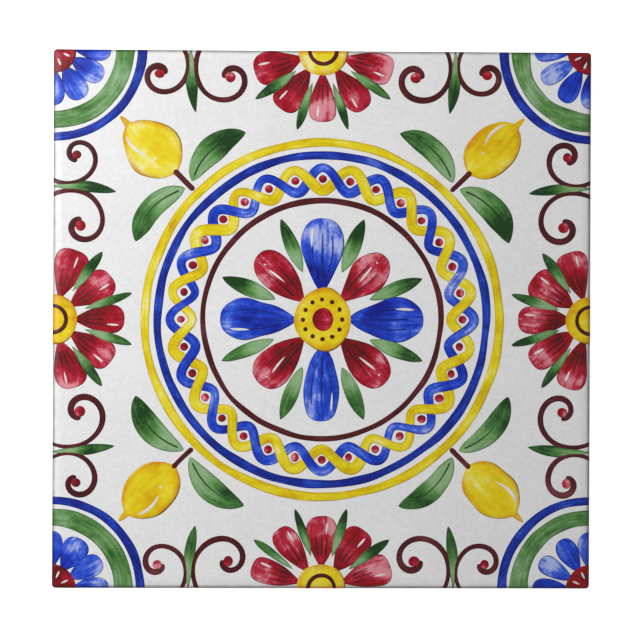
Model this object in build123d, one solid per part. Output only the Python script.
"""A square wall tile, dust-pressed and glazed, lying face up on its back.

Frame: millimetres, +Z up out of the glazed face, X and Y along the edges, and the
origin at the middle of the back, on the plane of its raised ribs.

The tile is one pressed and fired piece. Its face is flat and falls away towards the
four edges in a soft cushion, the corners are slightly rounded in plan, the back
arris is broken, and the back is keyed for adhesive with a lattice of ribs round
shallow tapered pockets.
"""

from build123d import *

import os

# Driving dimensions of the tile, in millimetres
tile_width = 152.4
tile_length = 152.4
tile_thickness = 6.35
corner_radius = 1.1

# Cushion edge of the face: how far in it starts, and how far it falls to the side
cushion_run = 2.6
cushion_fall = 0.75

# Break of the sharp arris all round the back
back_break = 0.6

# Keyed back: pockets pressed between ribs, inside a plain border
pocket_count_x = 6
pocket_count_y = 6
pocket_depth = 0.8
pocket_wall_taper = 35.0
pocket_corner_radius = 2.2
rib_width = 3.4
border_width = 6.5


def cushion_profile(across):
    """Section of the tile: straight sides and back, and a face rounded off by ellipses."""
    flat_half = across / 2 - cushion_run
    shoulder = tile_thickness - cushion_fall
    left, right = -across / 2, across / 2
    with BuildLine() as outline:
        Line((left, shoulder), (left, 0))
        Line((left, 0), (right, 0))
        Line((right, 0), (right, shoulder))
        EllipticalCenterArc((flat_half, shoulder), cushion_run, cushion_fall, 0, arc_size=90)
        Line((flat_half, tile_thickness), (-flat_half, tile_thickness))
        EllipticalCenterArc((-flat_half, shoulder), cushion_run, cushion_fall, 90, arc_size=90)
    return make_face(outline.line)


def pressed_blank():
    """The tile before its back is keyed: two cushioned sections crossed in the plan outline."""
    along_y = extrude(Plane.XZ * cushion_profile(tile_width), amount=tile_length / 2, both=True)
    along_x = extrude(Plane.YZ * cushion_profile(tile_length), amount=tile_width / 2, both=True)
    plan = extrude(RectangleRounded(tile_width, tile_length, corner_radius), amount=tile_thickness)
    return along_y & along_x & plan


def back_edge_break(blank):
    """Chamfer round the back, where the die leaves a sharp arris."""
    back_edges = blank.edges().group_by(Axis.Z)[0]
    return chamfer(back_edges, back_break)


def pocket_pitch(across, count):
    """Spacing of the pockets that fill the width inside the border."""
    return (across - 2 * border_width + rib_width) / count


def key_pockets():
    """The grid of shallow pockets, wider at their mouths than at their floors."""
    pitch_x = pocket_pitch(tile_width, pocket_count_x)
    pitch_y = pocket_pitch(tile_length, pocket_count_y)
    mouth = RectangleRounded(pitch_x - rib_width, pitch_y - rib_width, pocket_corner_radius)
    pocket = extrude(mouth, amount=pocket_depth, taper=pocket_wall_taper)
    return [place * pocket for place in GridLocations(pitch_x, pitch_y, pocket_count_x, pocket_count_y)]


def make_tile():
    """The finished tile, one solid."""
    blank = back_edge_break(pressed_blank())
    return blank - key_pockets()


tile = make_tile()
tile.label = "tile"

os.makedirs("parts", exist_ok=True)
export_step(tile, "parts/tile.step")
